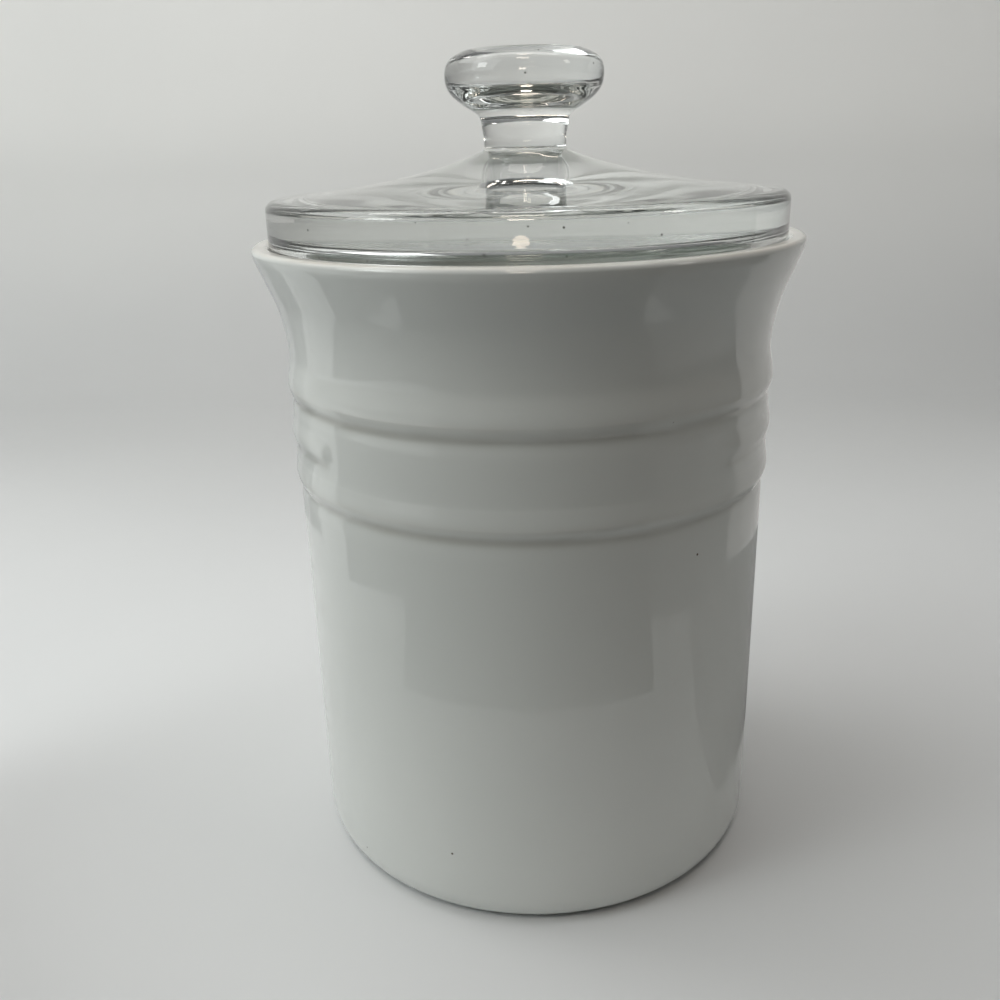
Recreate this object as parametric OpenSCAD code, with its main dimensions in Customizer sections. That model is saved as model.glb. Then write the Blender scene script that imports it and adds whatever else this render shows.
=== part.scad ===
// Glazed stoneware canister with a clear glass lid and a soft seal ring.
// Millimetres. +Z is up, the origin is the middle of the foot ring on the
// table, and -Y is the front, where the band has its plain panel.

/* [Jar] */
// Outer diameter of the straight body
body_d = 117.8; // [115:0.2:119]
// Largest diameter, over the rolled lip
lip_d = 130.8; // [130.8:0.2:133]
// Height of the jar to the crest of the lip
jar_h = 156.1; // [156.1:0.1:180]
// Thickness of the body wall
wall = 4.8; // [4.2:0.1:5.2]
// Thickness of the floor above the foot recess
floor_t = 6.4; // [5:0.1:9]
// Width of the lip from the mouth to its outer edge
lip_w = 4.1; // [3.9:0.05:4.1]
// Rounding of the lip's outer edge
lip_r = 1.25; // [1.1:0.05:1.3]

/* [Band] */
// Height of the upper step of the band
step_top = 121.7; // [119:0.1:124]
// Height of the middle step, which stops at the panel
step_mid = 110.3; // [109:0.1:112]
// Height of the lower step of the band
step_low = 99.8; // [97:0.1:101]
// How far the steps stand out from the body
step_out = 0.9; // [0.7:0.05:1.2]
// Half of the angle that the plain front panel spans
panel_half = 50; // [30:1:70]

/* [Foot] */
// Outer diameter of the unglazed foot ring
foot_d = 103.2; // [98:0.2:105]
// Width of the flat that the jar stands on
foot_w = 4.4; // [3:0.1:6]
// Depth of the recess inside the foot ring
foot_recess = 1.5; // [1:0.1:2]

/* [Glass lid] */
// Outer diameter of the lid's wall
lid_d = 122.6; // [122:0.1:122.6]
// Height of the shoulder above the crest of the jar's lip
shoulder_h = 9.9; // [8.7:0.1:11.7]
// Rounding of the shoulder
shoulder_r = 2.4; // [1.6:0.1:3]
// Rise of the dome from the shoulder to its apex inside the knob
dome_rise = 13.9; // [10:0.1:16]
// Inner diameter of the shallow hollow under the lid
hollow_d = 106; // [102:0.2:107]
// Height of the hollow above the plug's lower edge
hollow_h = 8; // [6:0.1:9]
// Outer diameter of the plug that enters the mouth
plug_d = 113.6; // [112.6:0.1:114]
// Depth of the plug below the seat
plug_h = 5; // [4.6:0.1:6]
// Overall diameter of the knob
knob_d = 36.7; // [32:0.1:40]
// Diameter of the neck under the knob
neck_d = 19.4; // [17:0.1:22]
// Height of the knob's top above the crest of the jar's lip
knob_top = 41; // [39.3:0.1:46.7]

/* [Seal ring] */
// Thickness of the ring around the plug
seal_t = 1.2; // [0.9:0.1:1.4]
// Reach of the longest fin beyond the ring
seal_fin = 2.7; // [2:0.1:2.8]

/* [Hidden] */
$fn = 180;
rb = body_d / 2;
rl = lip_d / 2;
ri = rb - wall;
rm = rl - lip_w;
zf = foot_recess + floor_t;
seat = jar_h - 1.1;
R = lid_d / 2;
rh = hollow_d / 2;
rp = plug_d / 2;
rk = knob_d / 2;
rn = neck_d / 2;
zs = jar_h + shoulder_h;
zk = jar_h + knob_top;
zh = seat - plug_h + hollow_h;
rd = R - shoulder_r;
gap = 0.05;
sr = rp + gap + seal_t;

// Arc of n steps around [cx, cz], from angle a0 to a1
function arc(cx, cz, r, a0, a1, n) =
    [for (i = [0 : n]) let (a = a0 + (a1 - a0) * i / n) [cx + r * cos(a), cz + r * sin(a)]];

// The same with half-axes a and b
function oval(cx, cz, a, b, a0, a1, n) =
    [for (i = [0 : n]) let (t = a0 + (a1 - a0) * i / n) [cx + a * cos(t), cz + b * sin(t)]];

// One point of a smooth curve between p1 and p2
function knot(p0, p1, p2, p3, t) =
    0.5 * (2 * p1 + (p2 - p0) * t + (2 * p0 - 5 * p1 + 4 * p2 - p3) * t * t
        + (3 * p1 - p0 - 3 * p2 + p3) * t * t * t);

// Smooth curve through the points of p, with n steps in each span
function curve(p, n) = concat(
    [for (i = [0 : len(p) - 2]) for (k = [0 : n - 1])
        knot(i > 0 ? p[i - 1] : 2 * p[0] - p[1], p[i], p[i + 1],
            i + 2 < len(p) ? p[i + 2] : 2 * p[i + 1] - p[i], k / n)],
    [p[len(p) - 1]]);

// A soft step at height z with a shallow recess below it, standing out by s
// from radius r, which settles to radius t above it over a height h
function step(z, r, s, t, h) = [
    [r - 0.03, z - 4.2], [r - 0.16, z - 2.5], [r - 0.22, z - 1.4],
    [r - 0.1, z - 0.6], [r + 0.3 * s, z + 0.2], [r + 0.72 * s, z + 1],
    [r + 0.97 * s, z + 1.9], [r + s, z + 2.6], [t + 0.8 * (r + s - t), z + 0.48 * h],
    [t + 0.32 * (r + s - t), z + 0.74 * h], [t, z + h]];

// Outer outline of the jar, from the foot up to the lip
function jar_outside() = concat(
    [[foot_d / 2 - foot_w, 0], [foot_d / 2 - 0.3, 0], [foot_d / 2 + 0.2, 0.5]],
    oval(rb - 4.5, 7, 4.5, 6.5, -90, 0, 10),
    curve(concat(
        [[rb, step_low - 6]],
        step(step_low, rb, step_out, rb + 0.4, 8),
        [[rb + 0.4, (step_low + step_top + 3.8) / 2]],
        step(step_top, rb + 0.4, step_out - 0.25, rb + 0.08, 9),
        [for (q = [[22.7, 0.03], [19.9, 0.08], [17.1, 0.16], [13.1, 0.32], [9.4, 0.54], [5.8, 0.76], [2.7, 0.945]])
            [rb + (rl - rb) * q[1], jar_h - q[0]]]), 3));

// Inner outline of the jar, from the lip down to the floor
function jar_inside() = concat(
    curve([for (q = [[2.3, 0.975], [4.5, 0.847], [7.4, 0.667], [10.9, 0.444], [14.6, 0.25], [19.1, 0.097], [23.6, 0.014], [29.3, 0]])
        [ri + (rm - ri) * q[1], jar_h - q[0]]], 3),
    arc(ri - 9, zf + 9, 9, 0, -90, 8));

module jar() {
    color([0.80, 0.81, 0.78]) union() {
        rotate_extrude() polygon(concat(
            [[0, foot_recess], [foot_d / 2 - foot_w - 0.6, foot_recess]],
            jar_outside(),
            arc(rl - lip_r, jar_h - lip_r, lip_r, 0, 90, 8),
            arc(rm + lip_r + 0.1, jar_h - lip_r - 0.1, lip_r + 0.1, 90, 180, 8),
            jar_inside(),
            [[0, zf]]));
        // the middle step runs round the sides and back, and stops at the panel
        rotate([0, 0, panel_half - 90])
            rotate_extrude(angle = 360 - 2 * panel_half) polygon(concat(
                [[rb - 1.5, step_mid - 0.15]],
                curve([[rb + 0.3, step_mid - 0.15], [rb + 0.62, step_mid + 0.4],
                    [rb + step_out, step_mid + 1.3], [rb + step_out - 0.06, step_mid + 2.6],
                    [rb + 0.62, step_mid + 4.4], [rb + 0.3, step_mid + 6.2]], 3),
                [[rb - 1.5, step_mid + 6.2]]));
    }
}

// Height of the dome's top surface at radius r
function dome(r) = let (x = (rd - r) / rd) zs + dome_rise * (0.405 * x + 0.595 * x * x * x);

// Outer outline of the lid, from the top of the knob down to the flange
function lid_outside() = concat(
    curve(concat(
        [for (q = [[0, 0.5], [0.3, 0.42], [0.5, 0.2], [0.66, 0.02], [0.76, 0.2], [0.88, 1.2], [0.945, 2.1], [0.982, 3.2], [1, 4.6], [1, 6.1], [0.984, 7.6], [0.943, 9], [0.865, 10.5]])
            [rk * q[0], zk - q[1]]],
        [for (q = [[0.485, 11.9], [0.291, 12.9], [0.155, 13.8], [0.087, 14.6], [0.063, 15.6], [0.04, 16.8], [0.014, 18], [0, 18.7]])
            [rn + (rk - rn) * q[0], zk - q[1]]]), 3),
    [[rn, dome(rn) + 0.9]],
    arc(rn + 0.7, dome(rn + 0.7) + 0.75, 0.7, 180, 255, 4),
    [for (i = [1 : 14]) let (r = rn + 1 + (rd - rn - 1) * i / 14) [r, dome(r)]],
    arc(rd, zs - shoulder_r, shoulder_r, 84, 0, 8));

// Flange, plug and rounded bottom edge of the lid
function lid_under() = concat(
    arc(R - 1.2, seat + 1.2, 1.2, 0, -90, 6),
    [[rp, seat], [rp, seat - plug_h + 0.8]],
    arc(rp - 0.8, seat - plug_h + 0.8, 0.8, -10, -90, 5),
    arc(rh + 0.8, seat - plug_h + 0.8, 0.8, -90, -180, 5));

// Shallow hollow under the lid, from its wall to the axis
function lid_inside() = concat(
    arc(rh - 2, zh - 2, 2, 0, 90, 7),
    [for (i = [1 : 8]) let (r = (rh - 2) * (1 - i / 8)) [r, zh + 0.4 * (1 - pow(r / (rh - 2), 2))]]);

module glass_lid() {
    color([0.86, 0.93, 0.93, 0.35])
        rotate_extrude() polygon(concat(lid_outside(), lid_under(), lid_inside()));
}

// One fin of the seal ring, with its root at height z and a reach of f
function fin(z, f) = [[sr, z - 0.45], [sr + f - 0.1, z + 0.35], [sr + f, z + 0.55], [sr + f - 0.2, z + 0.65], [sr, z + 0.35]];

module seal_ring() {
    color([0.93, 0.94, 0.92, 0.7])
        rotate_extrude() polygon(concat(
            [[rp + gap, seat - 0.2], [rp + gap, seat - 3.8]],
            [[sr - 0.3, seat - 3.8], [sr, seat - 3.5]],
            fin(seat - 2.8, seal_fin - 0.6), fin(seat - 1.2, seal_fin),
            [[sr, seat - 0.4], [sr - 0.2, seat - 0.2]]));
}

jar();
glass_lid();
seal_ring();
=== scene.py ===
import math

import bpy
import numpy as np
from mathutils import Matrix, Vector, noise


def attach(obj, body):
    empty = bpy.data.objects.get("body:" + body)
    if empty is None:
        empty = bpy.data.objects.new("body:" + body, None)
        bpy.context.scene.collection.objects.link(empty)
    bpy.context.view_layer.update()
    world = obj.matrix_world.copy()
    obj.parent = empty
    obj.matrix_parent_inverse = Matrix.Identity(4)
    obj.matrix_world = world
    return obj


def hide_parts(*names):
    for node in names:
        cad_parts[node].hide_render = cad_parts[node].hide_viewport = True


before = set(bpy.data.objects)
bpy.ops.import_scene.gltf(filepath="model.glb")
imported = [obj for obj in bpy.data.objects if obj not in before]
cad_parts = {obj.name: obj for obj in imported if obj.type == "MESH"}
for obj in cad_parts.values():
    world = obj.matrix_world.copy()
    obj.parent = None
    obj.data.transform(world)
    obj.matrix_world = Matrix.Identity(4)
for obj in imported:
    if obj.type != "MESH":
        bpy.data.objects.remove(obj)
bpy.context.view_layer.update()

scene = bpy.context.scene

# ---------------------------------------------------------------- sizes, mm
BODY_R = 58.9
LIP_R = 65.4
JAR_H = 156.1
WALL = 4.8
LIP_EDGE, LIP_W = 1.25, 4.1
STEP_TOP, STEP_MID, STEP_LOW, STEP_OUT = 121.7, 110.3, 99.8, 0.9
PANEL = 50.0
FOOT_R, FOOT_W, FOOT_RECESS, FLOOR_Z = 51.6, 4.4, 1.5, 7.9
LID_R, SHOULDER_Z, SHOULDER_ROLL, DOME_RISE = 61.3, 166.0, 2.4, 13.9
SEAT = 155.0
PLUG_R, PLUG_Z, HOLLOW_R, HOLLOW_Z = 56.8, 150.0, 53.0, 158.0
KNOB_R, NECK_R, KNOB_Z = 18.35, 9.7, 197.099
RING_IN, RING_R, FIN = 56.85, 58.05, 2.7
DOME_R = LID_R - SHOULDER_ROLL


# ---------------------------------------------------------------- outlines
def arc(cx, cz, r, a0, a1, n):
    return [(cx + r * math.cos(math.radians(a0 + (a1 - a0) * i / n)),
             cz + r * math.sin(math.radians(a0 + (a1 - a0) * i / n))) for i in range(n + 1)]


def oval(cx, cz, a, b, a0, a1, n):
    return [(cx + a * math.cos(math.radians(a0 + (a1 - a0) * i / n)),
             cz + b * math.sin(math.radians(a0 + (a1 - a0) * i / n))) for i in range(n + 1)]


def curve(points, n):
    p = [np.array(q, float) for q in points]
    out = []
    for i in range(len(p) - 1):
        p0 = p[i - 1] if i > 0 else 2 * p[0] - p[1]
        p1, p2 = p[i], p[i + 1]
        p3 = p[i + 2] if i + 2 < len(p) else 2 * p2 - p1
        for k in range(n):
            t = k / n
            out.append(tuple(0.5 * (2 * p1 + (p2 - p0) * t + (2 * p0 - 5 * p1 + 4 * p2 - p3) * t * t
                                    + (3 * p1 - p0 - 3 * p2 + p3) * t ** 3)))
    out.append(tuple(p[-1]))
    return out


def spread(points, step):
    """The same outline with extra points, so that no straight run is longer than step."""
    out = [points[0]]
    for a, b in zip(points, points[1:]):
        d = math.hypot(b[0] - a[0], b[1] - a[1])
        n = max(1, math.ceil(d / step))
        out += [(a[0] + (b[0] - a[0]) * k / n, a[1] + (b[1] - a[1]) * k / n) for k in range(1, n + 1)]
    return out


def soft_step(z, r, s, t, h):
    """A soft bulge at height z, with a shallow recess in the glaze below it."""
    return [(r - 0.03, z - 4.2), (r - 0.16, z - 2.5), (r - 0.22, z - 1.4), (r - 0.10, z - 0.6), (r + 0.30 * s, z + 0.2),
            (r + 0.72 * s, z + 1.0), (r + 0.97 * s, z + 1.9), (r + s, z + 2.6),
            (t + 0.80 * (r + s - t), z + 0.48 * h), (t + 0.32 * (r + s - t), z + 0.74 * h), (t, z + h)]


def jar_outline():
    rb, rl, ri, rm = BODY_R, LIP_R, BODY_R - WALL, LIP_R - LIP_W
    foot = [(0, FOOT_RECESS), (FOOT_R - FOOT_W - 1.1, FOOT_RECESS)]
    foot += arc(FOOT_R - FOOT_W - 1.1, FOOT_RECESS - 0.5, 0.5, 90, 10, 4)[1:]
    foot += arc(FOOT_R - FOOT_W + 0.1, 0.45, 0.45, 200, 270, 4)
    foot += arc(FOOT_R - 0.45, 0.45, 0.45, -90, -15, 4)
    foot += [(FOOT_R + 0.3, 0.52)]
    belly = oval(rb - 4.5, 7, 4.5, 6.5, -90, 0, 18)
    rise = curve(
        [(rb, STEP_LOW - 6)] + soft_step(STEP_LOW, rb, STEP_OUT, rb + 0.4, 8)
        + [(rb + 0.4, STEP_MID + 4)] + soft_step(STEP_TOP, rb + 0.4, STEP_OUT - 0.25, rb + 0.08, 9)
        + [(rb + (rl - rb) * q, JAR_H - d) for d, q in (
            (22.7, 0.03), (19.9, 0.08), (17.1, 0.16), (13.1, 0.32), (9.4, 0.54), (5.8, 0.76), (2.7, 0.945))], 6)
    lip = arc(rl - LIP_EDGE, JAR_H - LIP_EDGE, LIP_EDGE, 0, 90, 14)
    lip += arc(rm + LIP_EDGE + 0.1, JAR_H - LIP_EDGE - 0.1, LIP_EDGE + 0.1, 90, 180, 12)
    inside = curve([(ri + (rm - ri) * q, JAR_H - d) for d, q in (
        (2.3, 0.975), (4.5, 0.847), (7.4, 0.667), (10.9, 0.444), (14.6, 0.25), (19.1, 0.097), (23.6, 0.014), (29.3, 0))], 5)
    well = arc(ri - 9, FLOOR_Z + 9, 9, 0, -90, 12)
    return spread(foot + belly + rise + lip + inside + well + [(0, FLOOR_Z)], 3.0)


def dome(r):
    x = (DOME_R - r) / DOME_R
    return SHOULDER_Z + DOME_RISE * (0.405 * x + 0.595 * x ** 3)


def lid_outline():
    top = curve(
        [(KNOB_R * q, KNOB_Z - d) for q, d in (
            (0, 0.5), (0.3, 0.42), (0.5, 0.2), (0.66, 0.02), (0.76, 0.2), (0.88, 1.2), (0.945, 2.1), (0.982, 3.2),
            (1, 4.6), (1, 6.1), (0.984, 7.6), (0.943, 9), (0.865, 10.5))]
        + [(NECK_R + (KNOB_R - NECK_R) * q, KNOB_Z - d) for q, d in (
            (0.485, 11.9), (0.291, 12.9), (0.155, 13.8), (0.087, 14.6), (0.063, 15.6), (0.04, 16.8), (0.014, 18), (0, 18.7))], 6)
    root = arc(NECK_R + 0.9, dome(NECK_R + 0.9) + 0.95, 0.9, 180, 252, 6)
    slope = [(r, dome(r)) for r in np.linspace(NECK_R + 1.3, DOME_R, 60)]
    shoulder = arc(DOME_R, SHOULDER_Z - SHOULDER_ROLL, SHOULDER_ROLL, 84, 0, 14)
    under = arc(LID_R - 1.2, SEAT + 1.2, 1.2, 0, -90, 8)
    plug = [(PLUG_R + 0.3, SEAT), (PLUG_R, SEAT - 0.3)] + arc(PLUG_R - 0.8, PLUG_Z + 0.8, 0.8, 0, -90, 7)
    plug += arc(HOLLOW_R + 0.8, PLUG_Z + 0.8, 0.8, -90, -180, 7)
    ceiling = arc(HOLLOW_R - 2, HOLLOW_Z - 2, 2, 0, 90, 10)
    ceiling += [(r, HOLLOW_Z + 0.4 * (1 - (r / (HOLLOW_R - 2)) ** 2)) for r in np.linspace(HOLLOW_R - 2, 0, 24)[1:]]
    return spread(top + root + slope + shoulder + under + plug, 2.5) + ceiling


def ring_outline():
    def fin(z, f):
        return [(RING_R, z - 0.5), (RING_R + 0.25, z - 0.38), (RING_R + f - 0.25, z + 0.28), (RING_R + f - 0.05, z + 0.42),
                (RING_R + f, z + 0.56), (RING_R + f - 0.1, z + 0.65), (RING_R + f - 0.3, z + 0.63),
                (RING_R + 0.25, z + 0.34), (RING_R, z + 0.42)]
    out = [(RING_IN, SEAT - 0.2), (RING_IN, SEAT - 2), (RING_IN, SEAT - 3.7), (RING_IN + 0.1, SEAT - 3.8)]
    out += arc(RING_R - 0.3, SEAT - 3.5, 0.3, -90, 0, 4)
    out += fin(SEAT - 2.8, FIN - 0.6) + fin(SEAT - 1.2, FIN)
    out += arc(RING_R - 0.2, SEAT - 0.4, 0.2, 0, 90, 3)
    return out


# ---------------------------------------------------------------- meshes
def lathe(name, outline, segments, closed, radius=None, shift=0.5):
    """Solid of revolution about Z. radius(r, z, angle) may move a point in or out."""
    verts, faces, rings = [], [], []
    for r, z in outline:
        if r < 1e-6:
            rings.append([len(verts)])
            verts.append((0, 0, z / 1000))
            continue
        ids = []
        for k in range(segments):
            a = 2 * math.pi * (k + shift) / segments
            q = radius(r, z, a) if radius else r
            ids.append(len(verts))
            verts.append((q * math.cos(a) / 1000, q * math.sin(a) / 1000, z / 1000))
        rings.append(ids)
    pairs = list(zip(rings, rings[1:])) + ([(rings[-1], rings[0])] if closed else [])
    for a, b in pairs:
        for k in range(segments):
            j = (k + 1) % segments
            if len(a) == 1:
                faces.append((a[0], b[j], b[k]))
            elif len(b) == 1:
                faces.append((a[k], a[j], b[0]))
            else:
                faces.append((a[k], a[j], b[j], b[k]))
    mesh = bpy.data.meshes.new(name)
    mesh.from_pydata(verts, [], faces)
    mesh.update()
    mesh.calc_loop_triangles()
    co = np.array(verts)
    tri = np.array([t.vertices[:] for t in mesh.loop_triangles])
    vol = np.einsum("ij,ij->i", co[tri[:, 0]], np.cross(co[tri[:, 1]], co[tri[:, 2]])).sum()
    if vol < 0:
        mesh.flip_normals()
    mesh.polygons.foreach_set("use_smooth", [True] * len(mesh.polygons))
    mesh.set_sharp_from_angle(angle=math.radians(42))
    obj = bpy.data.objects.new(name, mesh)
    scene.collection.objects.link(obj)
    return obj


def smooth(a, b, x):
    t = min(1.0, max(0.0, (x - a) / (b - a)))
    return t * t * (3 - 2 * t)


def from_front(angle):
    """Degrees between this direction and the front, -Y."""
    d = math.degrees(angle) + 90
    return (d + 180) % 360 - 180


def past_panel(angle):
    """0 on the plain front panel, 1 past its ends."""
    d = from_front(angle)
    return smooth(PANEL - 6.5, PANEL + 0.5, d) if d > 0 else smooth(PANEL - 2.2, PANEL + 1.6, -d)


def middle_step(z, angle):
    """How far the middle step stands out: round the sides and back, with soft ends at the front panel."""
    if z < STEP_MID - 1 or z > STEP_MID + 7:
        return 0.0
    ends = past_panel(angle)
    rise = smooth(STEP_MID - 0.9, STEP_MID + 1.9, z)
    fall = 1 - smooth(STEP_MID + 2.0, STEP_MID + 6.8, z)
    return 0.62 * ends * rise * fall


def jar_radius(r, z, angle):
    outer = r > BODY_R - 3 and z > 6
    if outer and STEP_MID - 1 < z < STEP_MID + 8:
        r += middle_step(z, angle)
    # hand-finished clay: the wall swells and dips by hundredths of a millimetre
    if r > 30 and z > 3:
        p = Vector((math.cos(angle) * 2.1, math.sin(angle) * 2.1, z / 28.0))
        r -= 0.05 + 0.05 * noise.noise(p) + 0.02 * noise.noise(p * 2.7 + Vector((5, 1, 2)))
    return r


jar = lathe("jar_glazed", jar_outline(), 288, False, jar_radius)
lid = lathe("lid_clear", lid_outline(), 256, False)
ring = lathe("seal_soft", ring_outline(), 256, True)


# ---------------------------------------------------------------- materials
def new_material(name):
    m = bpy.data.materials.new(name)
    m.use_nodes = True
    nt = m.node_tree
    return m, nt, nt.nodes["Principled BSDF"]


def add(nt, kind, **values):
    n = nt.nodes.new(kind)
    for k, v in values.items():
        setattr(n, k, v)
    return n


def put(n, **values):
    for k, v in values.items():
        n.inputs[k.replace("_", " ")].default_value = v
    return n


def noise_node(nt, coords, scale, detail=2.0, rough=0.5):
    n = put(add(nt, "ShaderNodeTexNoise"), Scale=scale, Detail=detail, Roughness=rough)
    nt.links.new(coords, n.inputs["Vector"])
    return n.outputs["Fac"]


def spread_value(nt, value, a, b, lo, hi, smoothly=False):
    n = add(nt, "ShaderNodeMapRange", interpolation_type="SMOOTHSTEP" if smoothly else "LINEAR")
    put(n, From_Min=a, From_Max=b, To_Min=lo, To_Max=hi)
    nt.links.new(value, n.inputs["Value"])
    return n.outputs["Result"]


def maths(nt, op, a, b):
    n = add(nt, "ShaderNodeMath", operation=op)
    for i, v in enumerate((a, b)):
        if isinstance(v, (int, float)):
            n.inputs[i].default_value = v
        else:
            nt.links.new(v, n.inputs[i])
    return n.outputs[0]


def mix_colour(nt, fac, a, b):
    n = add(nt, "ShaderNodeMix", data_type="RGBA")
    nt.links.new(fac, n.inputs["Factor"])
    for key, v in (("A", a), ("B", b)):
        s = [i for i in n.inputs if i.name == key and i.type == "RGBA"][0]
        if isinstance(v, tuple):
            s.default_value = (*v, 1)
        else:
            nt.links.new(v, s)
    return [o for o in n.outputs if o.type == "RGBA"][0]


def specks(nt, coords, scale, size, share):
    """Small spots: 1 in a spot, 0 elsewhere. share is how many of the cells have one."""
    v = put(add(nt, "ShaderNodeTexVoronoi"), Scale=scale)
    nt.links.new(coords, v.inputs["Vector"])
    sep = add(nt, "ShaderNodeSeparateColor")
    nt.links.new(v.outputs["Color"], sep.inputs[0])
    picked = maths(nt, "LESS_THAN", sep.outputs[0], share)
    spot = spread_value(nt, v.outputs["Distance"], size * 0.55 * scale, size * scale, 1, 0, True)
    return maths(nt, "MULTIPLY", picked, spot)


def bump(nt, height, distance, strength, normal=None):
    n = put(add(nt, "ShaderNodeBump"), Strength=strength, Distance=distance)
    nt.links.new(height, n.inputs["Height"])
    if normal is not None:
        nt.links.new(normal, n.inputs["Normal"])
    return n.outputs["Normal"]


def object_coords(nt):
    return add(nt, "ShaderNodeTexCoord").outputs["Object"]


def glaze_material():
    m, nt, b = new_material("glazed_stoneware")
    co = object_coords(nt)
    thin = add(nt, "ShaderNodeAttribute", attribute_name="thin").outputs["Fac"]
    pool_and_painted_shade = add(nt, "ShaderNodeAttribute", attribute_name="pool_and_painted_shade").outputs["Fac"]
    cloud = noise_node(nt, co, 14, 3)
    base = mix_colour(nt, spread_value(nt, cloud, 0.3, 0.7, 0, 1), (0.665, 0.685, 0.66), (0.705, 0.72, 0.695))
    # the glaze is thin and shows the warm clay on edges; in the recesses below the steps a darker colour stands for
    # pooled glaze and painted shade
    edge = maths(nt, "MULTIPLY", thin, spread_value(nt, noise_node(nt, co, 70, 4), 0.3, 0.7, 0.35, 1.0))
    base = mix_colour(nt, edge, base, (0.50, 0.40, 0.31))
    # painted shade with pooled glaze: darker in the recess under each step
    deep_glaze_and_shade = maths(nt, "MULTIPLY", pool_and_painted_shade, spread_value(nt, noise_node(nt, co, 45, 3), 0.3, 0.7, 0.55, 1.0))
    base = mix_colour(nt, deep_glaze_and_shade, base, (0.36, 0.345, 0.29))
    pin = specks(nt, co, 85, 0.00036, 0.75)
    base = mix_colour(nt, pin, base, (0.13, 0.10, 0.075))
    nt.links.new(base, b.inputs["Base Color"])
    rough = spread_value(nt, noise_node(nt, co, 22, 4, 0.6), 0.3, 0.7, 0.014, 0.042)
    nt.links.new(rough, b.inputs["Roughness"])
    put(b, IOR=1.5)
    n = bump(nt, noise_node(nt, co, 38, 2), 0.0009, 0.06)
    n = bump(nt, noise_node(nt, co, 420, 2), 0.00004, 0.12, n)
    n = bump(nt, maths(nt, "MULTIPLY", pin, -1.0), 0.0003, 0.6, n)
    nt.links.new(n, b.inputs["Normal"])
    return m


def clay_material():
    m, nt, b = new_material("bare_clay")
    co = object_coords(nt)
    grain = noise_node(nt, co, 900, 5, 0.65)
    cloud = noise_node(nt, co, 60, 3)
    base = mix_colour(nt, spread_value(nt, cloud, 0.3, 0.7, 0, 1), (0.60, 0.51, 0.40), (0.70, 0.62, 0.51))
    base = mix_colour(nt, specks(nt, co, 420, 0.0005, 0.4), base, (0.33, 0.24, 0.17))
    nt.links.new(base, b.inputs["Base Color"])
    nt.links.new(spread_value(nt, grain, 0.3, 0.7, 0.75, 0.95), b.inputs["Roughness"])
    nt.links.new(bump(nt, grain, 0.0003, 0.5), b.inputs["Normal"])
    return m


def glass_material(name, smooth_to, rough_to, swell):
    m, nt, b = new_material(name)
    co = object_coords(nt)
    put(b, Transmission_Weight=1.0, IOR=1.5)
    smear = noise_node(nt, co, 55, 5, 0.65)
    nt.links.new(spread_value(nt, smear, 0.45, 0.8, smooth_to, rough_to), b.inputs["Roughness"])
    # thick glass is a little grey along the path of the light
    soak = put(add(nt, "ShaderNodeVolumeAbsorption"), Density=20.0)
    soak.inputs["Color"].default_value = (0.922, 0.932, 0.925, 1)
    nt.links.new(soak.outputs["Volume"], nt.nodes["Material Output"].inputs["Volume"])
    dust = specks(nt, co, 330, 0.00032, 0.5)
    tint = mix_colour(nt, spread_value(nt, noise_node(nt, co, 20, 2), 0.3, 0.7, 0, 1), (0.975, 0.983, 0.979), (0.988, 0.993, 0.99))
    nt.links.new(mix_colour(nt, dust, tint, (0.12, 0.12, 0.11)), b.inputs["Base Color"])
    # marks of pressing and polishing: long level streaks, and a slow swell of the surface
    stretch = add(nt, "ShaderNodeMapping")
    stretch.inputs["Scale"].default_value = (18, 18, 520)
    nt.links.new(co, stretch.inputs["Vector"])
    streak = noise_node(nt, stretch.outputs["Vector"], 1.0, 3, 0.55)
    n = bump(nt, streak, 0.00006, 0.28)
    n = bump(nt, noise_node(nt, co, 60, 2), 0.0006, swell, n)
    nt.links.new(n, b.inputs["Normal"])
    return m


def silicone_material():
    m, nt, b = new_material("soft_silicone")
    co = object_coords(nt)
    put(b, Transmission_Weight=0.3, IOR=1.41)
    cloud = noise_node(nt, co, 90, 3)
    nt.links.new(mix_colour(nt, spread_value(nt, cloud, 0.3, 0.7, 0, 1), (0.80, 0.81, 0.79), (0.88, 0.89, 0.87)), b.inputs["Base Color"])
    nt.links.new(spread_value(nt, noise_node(nt, co, 300, 3), 0.3, 0.7, 0.28, 0.42), b.inputs["Roughness"])
    nt.links.new(bump(nt, noise_node(nt, co, 700, 2), 0.0001, 0.2), b.inputs["Normal"])
    return m


def jar_marks(obj):
    """Where the glaze is thin on edges, and where the recesses below the steps are darkened with pooled glaze and
    painted shade.
    """
    thin, pool_and_painted_shade = [], []
    for v in obj.data.vertices:
        x, y, z = v.co * 1000
        r = math.hypot(x, y)
        a = math.atan2(y, x)
        outer = r > BODY_R - 2
        t = p = 0.0
        if r > LIP_R - LIP_W - 0.4 and z > JAR_H - 2.2:
            t = 0.42 * smooth(JAR_H - 0.9, JAR_H - 0.05, z)
        if outer and z < 140:
            for h, w in ((STEP_TOP, 1.0), (STEP_LOW, 1.0)):
                t = max(t, 0.08 * w * math.exp(-((z - h - 2.2) / 1.0) ** 2))
                # pooled glaze and painted shade in the recess below the top and low steps
                p = max(p, 0.56 * w * math.exp(-((z - h + 0.45) / 1.25) ** 2))
            # pooled glaze and painted shade below the middle step, past the front panel
            p = max(p, 0.52 * past_panel(a) * math.exp(-((z - STEP_MID + 0.2) / 1.1) ** 2))
        thin.append(t)
        pool_and_painted_shade.append(p)
    for name, values in (("thin", thin), ("pool_and_painted_shade", pool_and_painted_shade)):
        at = obj.data.attributes.new(name, "FLOAT", "POINT")
        at.data.foreach_set("value", values)


jar_marks(jar)
jar.data.materials.append(glaze_material())
jar.data.materials.append(clay_material())
for f in jar.data.polygons:
    c = f.center * 1000
    if c.z < 0.6 and math.hypot(c.x, c.y) < FOOT_R + 0.4 and math.hypot(c.x, c.y) > FOOT_R - FOOT_W - 0.7:
        f.material_index = 1
lid.data.materials.append(glass_material("pressed_glass", 0.0, 0.03, 0.03))
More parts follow.
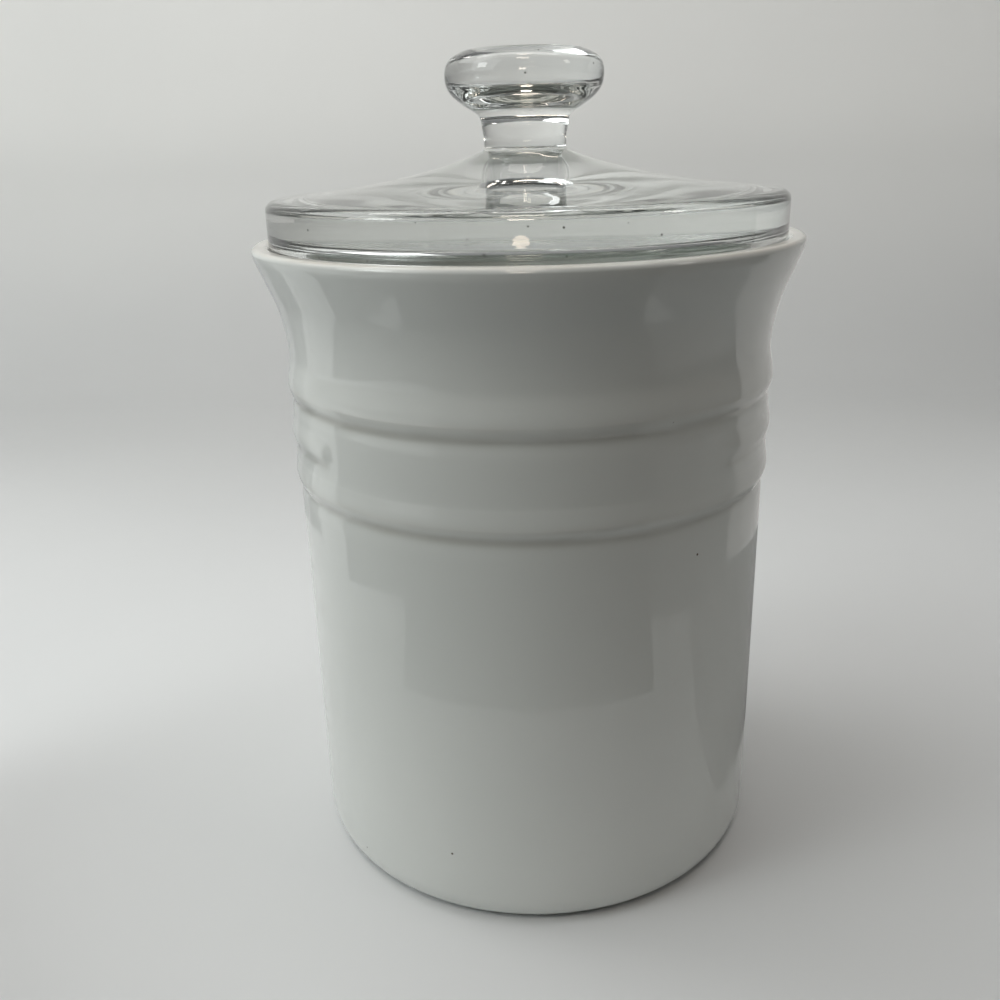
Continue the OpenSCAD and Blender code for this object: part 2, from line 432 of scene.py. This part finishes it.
# the underside keeps the skin of the mould, a little less bright than the polished top
lid.data.materials.append(glass_material("moulded_glass", 0.04, 0.09, 0.06))
for f in lid.data.polygons:
    c = f.center * 1000
    if c.z < HOLLOW_Z + 1.2 and math.hypot(c.x, c.y) < HOLLOW_R + 0.3:
        f.material_index = 1
ring.data.materials.append(silicone_material())
# clear glass lets the light through to the ring and the jar's inside
lid.visible_shadow = lid.visible_diffuse = False

for obj, node, body, slot in ((jar, "jar", "jar_body", "stoneware"), (lid, "glass_lid", "lid_body", "lid_glass"),
                              (ring, "seal_ring", "lid_body", "seal")):
    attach(obj, body)
    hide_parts(node)


# ---------------------------------------------------------------- stage
def sweep():
    """Pale floor that turns up into a plain wall, with painted shade on the floor in front of the jar and at the foot
    of the wall behind it, and painted light up the wall.
    """
    far, bend, high = 0.62, 0.16, 0.72
    line = [(-3.0, 0.0), (-1.2, 0.0), (-0.4, 0.0), (0.0, 0.0), (0.3, 0.0)]
    line += [(far - bend + bend * math.sin(t), bend - bend * math.cos(t)) for t in np.linspace(0, math.pi / 2, 24)]
    line += [(far, 0.4), (far, high)]
    xs = np.linspace(-3, 3, 13)
    verts = [(x, y, z) for y, z in line for x in xs]
    w = len(xs)
    faces = [(i * w + k, i * w + k + 1, (i + 1) * w + k + 1, (i + 1) * w + k)
             for i in range(len(line) - 1) for k in range(w - 1)]
    mesh = bpy.data.meshes.new("studio_sweep")
    mesh.from_pydata(verts, [], faces)
    mesh.polygons.foreach_set("use_smooth", [True] * len(faces))
    obj = bpy.data.objects.new("studio_sweep", mesh)
    scene.collection.objects.link(obj)
    m, nt, b = new_material("studio_paper")
    co = object_coords(nt)
    cloud = noise_node(nt, co, 3, 3)
    sep = add(nt, "ShaderNodeSeparateXYZ")
    nt.links.new(co, sep.inputs[0])
    near = mix_colour(nt, spread_value(nt, cloud, 0.3, 0.7, 0, 1), (0.68, 0.69, 0.695), (0.72, 0.73, 0.735))
    # painted shade: the floor darker behind the jar, towards the foot of the wall
    far = mix_colour(nt, spread_value(nt, cloud, 0.3, 0.7, 0, 1), (0.50, 0.505, 0.505), (0.54, 0.545, 0.545))
    # painted shade: the floor darker in front of the jar
    front = mix_colour(nt, spread_value(nt, cloud, 0.3, 0.7, 0, 1), (0.49, 0.495, 0.5), (0.53, 0.535, 0.54))
    near = mix_colour(nt, spread_value(nt, sep.outputs["Y"], -0.32, -0.08, 0, 1, True), front, near)
    low = mix_colour(nt, spread_value(nt, sep.outputs["Y"], 0.06, 0.42, 0, 1, True), near, far)
    # painted light: the paper lighter up the wall than on the floor
    high = mix_colour(nt, spread_value(nt, cloud, 0.3, 0.7, 0, 1), (0.80, 0.80, 0.785), (0.84, 0.84, 0.825))
    wall = spread_value(nt, sep.outputs["Z"], 0.0, 0.22, 0, 1, True)
    nt.links.new(mix_colour(nt, wall, low, high), b.inputs["Base Color"])
    nt.links.new(spread_value(nt, noise_node(nt, co, 120, 4), 0.3, 0.7, 0.75, 0.9), b.inputs["Roughness"])
    put(b, Specular_IOR_Level=0.1)
    mesh.materials.append(m)


sweep()


def backdrop():
    """Plain round wall far behind the camera, the background of the views from the sides and the back. It is no lamp
    but glows with painted light, brighter at the bottom and dimmer towards the top.
    """
    n, verts = 64, []
    for k in range(n + 1):
        t = math.radians(-110 + 220 * k / n)
        verts += [(2.4 * math.sin(t), -2.4 * math.cos(t), 0.0), (2.4 * math.sin(t), -2.4 * math.cos(t), 2.6)]
    mesh = bpy.data.meshes.new("studio_backdrop")
    mesh.from_pydata(verts, [], [(2 * k, 2 * k + 2, 2 * k + 3, 2 * k + 1) for k in range(n)])
    mesh.polygons.foreach_set("use_smooth", [True] * n)
    obj = bpy.data.objects.new("studio_backdrop", mesh)
    scene.collection.objects.link(obj)
    m, nt, b = new_material("studio_backdrop")
    co = object_coords(nt)
    sep = add(nt, "ShaderNodeSeparateXYZ")
    nt.links.new(co, sep.inputs[0])
    # painted light: the wall glows, brighter at the bottom and dimmer at the top
    painted_glow = mix_colour(nt, spread_value(nt, sep.outputs["Z"], 0.0, 1.6, 0, 1, True), (0.22, 0.222, 0.222), (0.12, 0.121, 0.121))
    nt.links.new(painted_glow, b.inputs["Emission Color"])
    put(b, Base_Color=(0.3, 0.3, 0.3, 1), Emission_Strength=1.0, Roughness=0.9, Specular_IOR_Level=0.1)
    mesh.materials.append(m)
    obj.visible_shadow = obj.visible_diffuse = obj.visible_glossy = obj.visible_transmission = False


backdrop()


def area(name, place, aim, size, watts, colour, unseen=()):
    data = bpy.data.lights.new(name, "AREA")
    data.shape, data.size, data.size_y = "RECTANGLE", size[0], size[1]
    data.energy, data.color = watts, colour
    obj = bpy.data.objects.new(name, data)
    obj.location = place
    obj.rotation_euler = (Vector(aim) - Vector(place)).to_track_quat("-Z", "Y").to_euler()
    obj.visible_camera = False
    for kind in unseen:
        setattr(obj, "visible_" + kind, False)
    scene.collection.objects.link(obj)


area("left_soft", (-0.92, -0.5, 0.72), (0, 0.0, 0.08), (0.8, 0.9), 3.5, (0.955, 1.0, 0.985))
area("left_window", (-1.05, -0.52, 0.72), (0, 0.0, 0.12), (0.3, 0.34), 2.2, (0.95, 1.0, 0.99))
area("right_window", (1.0, -0.42, 0.75), (0, 0.0, 0.14), (0.16, 0.26), 0.6, (1.0, 0.96, 0.91))
area("top_soft", (-0.95, 0.12, 1.15), (0, 0.05, 0.0), (1.1, 0.9), 5.4, (0.975, 1.0, 0.99))
area("wall_wash", (-0.1, 0.08, 1.05), (0.0, 0.62, 0.28), (1.2, 0.35), 4.0, (1.0, 0.985, 0.96), ("transmission",))
area("lamp_warm", (-0.02, -0.63, 1.06), (0, 0, 0.17), (0.26, 0.18), 1.25, (1.0, 0.88, 0.76))
# a small warm glint from just above the camera, on the glass and the lip only
area("lamp_glint", (-0.006, -0.19, 0.215), (0, 0, 0.175), (0.03, 0.02), 0.03, (1.0, 0.87, 0.74), ("diffuse",))
# and one close to the lid's wall
area("lamp_glint_low", (-0.003, -0.11, 0.1555), (-0.002, -0.06, 0.161), (0.009, 0.003), 0.0006, (1.0, 0.82, 0.64), ("diffuse", "transmission"))
bpy.data.objects["lamp_glint_low"].data.shape = "ELLIPSE"


def light_card(name, start, stop, r, low, high, strength, colour):
    """A curved light strip beside the picture, which shows only as a reflection."""
    n = 16
    verts = []
    for k in range(n + 1):
        t = math.radians(start + (stop - start) * k / n)
        verts += [(r * math.sin(t), -r * math.cos(t), low), (r * math.sin(t), -r * math.cos(t), high)]
    mesh = bpy.data.meshes.new(name)
    mesh.from_pydata(verts, [], [(2 * k, 2 * k + 2, 2 * k + 3, 2 * k + 1) for k in range(n)])
    obj = bpy.data.objects.new(name, mesh)
    scene.collection.objects.link(obj)
    m, nt, b = new_material(name)
    put(b, Base_Color=(0.1, 0.1, 0.1, 1), Emission_Color=(*colour, 1), Emission_Strength=strength, Roughness=0.8)
    mesh.materials.append(m)
    obj.visible_camera = obj.visible_shadow = obj.visible_diffuse = False


light_card("studio_strip_left", -114, -130, 0.26, 0.0, 0.13, 0.2, (0.97, 1.0, 1.0))
light_card("studio_strip_left_back", -130, -166, 0.26, 0.0, 0.13, 0.38, (0.98, 1.0, 1.0))
light_card("studio_strip_right", 96, 152, 0.24, 0.0, 0.15, 0.44, (1.0, 0.975, 0.94))


def dark_card(name, start, stop, path, grey, unseen=()):
    """A curved dark card beside the picture, which gives the glaze and the glass their dark side.
    path(t) gives its section, as (radius, height) points, at the share t of its length."""
    n = 48
    verts = []
    for k in range(n + 1):
        t = math.radians(start + (stop - start) * k / n)
        verts += [(r * math.sin(t), -r * math.cos(t), z) for r, z in path(k / n)]
    w = len(path(0))
    faces = [(w * k + j, w * k + w + j, w * k + w + j + 1, w * k + j + 1) for k in range(n) for j in range(w - 1)]
    mesh = bpy.data.meshes.new(name)
    mesh.from_pydata(verts, [], faces)
    obj = bpy.data.objects.new(name, mesh)
    scene.collection.objects.link(obj)
    m, nt, b = new_material(name)
    co = object_coords(nt)
    nt.links.new(mix_colour(nt, noise_node(nt, co, 12, 3), (grey * 0.8,) * 3, (grey * 1.2,) * 3), b.inputs["Base Color"])
    put(b, Roughness=0.9, Specular_IOR_Level=0.1)
    mesh.materials.append(m)
    obj.visible_camera = obj.visible_shadow = False
    for kind in unseen:
        setattr(obj, "visible_" + kind, False)


dark_card("studio_card_front", -55, 50, lambda t: [(0.2, 0.012), (0.2, 0.08 + 0.25 * smooth(0.16, 0.3, t) - 0.15 * smooth(0.75, 0.95, t))], 0.03)
dark_card("studio_card_front_low", -55, 50, lambda t: [(0.15, 0.003), (0.2, 0.003), (0.2, 0.012)], 0.03, ("diffuse",))
dark_card("studio_card_left", -88, -55, lambda t: [(0.2, 0.03), (0.2, 0.1 - 0.02 * t)], 0.06)
dark_card("studio_card_left_low", -88, -55, lambda t: [(0.2, 0.012), (0.2, 0.03)], 0.06, ("diffuse",))
dark_card("studio_card_right", 50, 95, lambda t: [(0.2, 0.078), (0.2, 0.17)], 0.03, ("diffuse",))
dark_card("studio_card_right_low", 50, 95, lambda t: [(0.2, 0.003), (0.2, 0.078)], 0.3, ("diffuse",))
dark_card("studio_card_floor", 70, 150, lambda t: [(0.075, 0.002), (0.23, 0.002)], 0.3, ("diffuse",))

# the air of the room: light from the left and above, dim in front and to the right
world = bpy.data.worlds.new("studio_air")
scene.world = world
world.use_nodes = True
wn = world.node_tree
back = wn.nodes["Background"]
way = add(wn, "ShaderNodeTexCoord").outputs["Generated"]
lean = add(wn, "ShaderNodeVectorMath", operation="DOT_PRODUCT")
lean.inputs[1].default_value = (-0.42, 0.30, 0.86)
wn.links.new(way, lean.inputs[0])
level = spread_value(wn, lean.outputs["Value"], -0.35, 0.95, 0.0, 1.0, True)
wn.links.new(mix_colour(wn, level, (0.030, 0.029, 0.028), (0.26, 0.265, 0.265)), back.inputs["Color"])
back.inputs["Strength"].default_value = 1.0

# ---------------------------------------------------------------- camera
FOCAL, DIST, HEIGHT, PITCH, YAW, ROLL = 1001.0, 250.23, 178.44, 0.34799, -0.03256, -0.02671
fw = Vector((math.sin(YAW) * math.cos(PITCH), math.cos(YAW) * math.cos(PITCH), -math.sin(PITCH)))
rt = Vector((math.cos(YAW), -math.sin(YAW), 0))
up = rt.cross(fw)
c, s = math.cos(ROLL), math.sin(ROLL)
r2, u2 = c * rt + s * up, c * up - s * rt
cam_data = bpy.data.cameras.new("camera")
cam_data.sensor_width = 36.0
cam_data.lens = 36.0 * FOCAL / 1000
cam_data.clip_start = 0.01
cam = bpy.data.objects.new("camera", cam_data)
cam.matrix_world = Matrix(((r2.x, u2.x, -fw.x, 0), (r2.y, u2.y, -fw.y, -DIST / 1000), (r2.z, u2.z, -fw.z, HEIGHT / 1000), (0, 0, 0, 1)))
scene.collection.objects.link(cam)
scene.camera = cam

scene.view_settings.view_transform = "Standard"
scene.cycles.max_bounces = 18
scene.cycles.transmission_bounces = 18
scene.cycles.glossy_bounces = 8
scene.cycles.diffuse_bounces = 4
scene.cycles.sample_clamp_indirect = 8.0
scene.cycles.use_denoising = True
